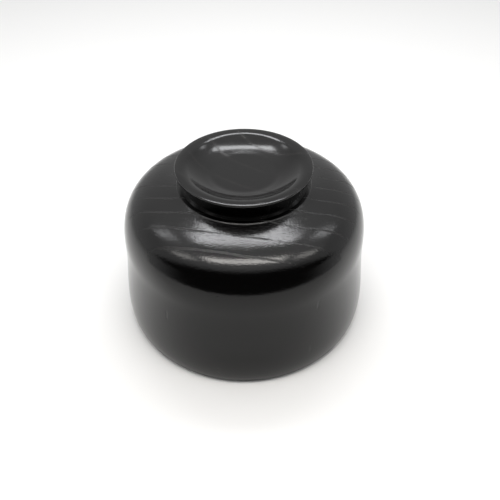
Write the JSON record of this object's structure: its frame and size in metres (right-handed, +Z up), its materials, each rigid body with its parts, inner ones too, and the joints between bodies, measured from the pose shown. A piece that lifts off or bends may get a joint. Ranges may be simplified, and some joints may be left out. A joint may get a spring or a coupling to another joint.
{
  "type": "go stone bowl",
  "caption": "Round turned wooden bowl with a lift-off lid, black lacquered, for keeping the stones of the board game go.",
  "frame": {"origin": "centre of the base, on the surface that the bowl stands on", "axes": "+Z up along the turning axis of the bowl and its lid; X and Y are free, since both pieces are turned"},
  "size_m": [0.14, 0.14, 0.0949],
  "materials": {
    "black_lacquer": "semi-gloss black lacquer over turned wood, with a faint grain"
  },
  "bodies": {
    "bowl": {"bowl_body": "black_lacquer"},
    "lid": {"lid_body": "black_lacquer"}
  },
  "joints": [
    {"name": "lid_lift", "type": "slide", "parent": "bowl", "child": "lid", "axis": [0, 0, 1], "range_m": [0, 0.12]}
  ]
}
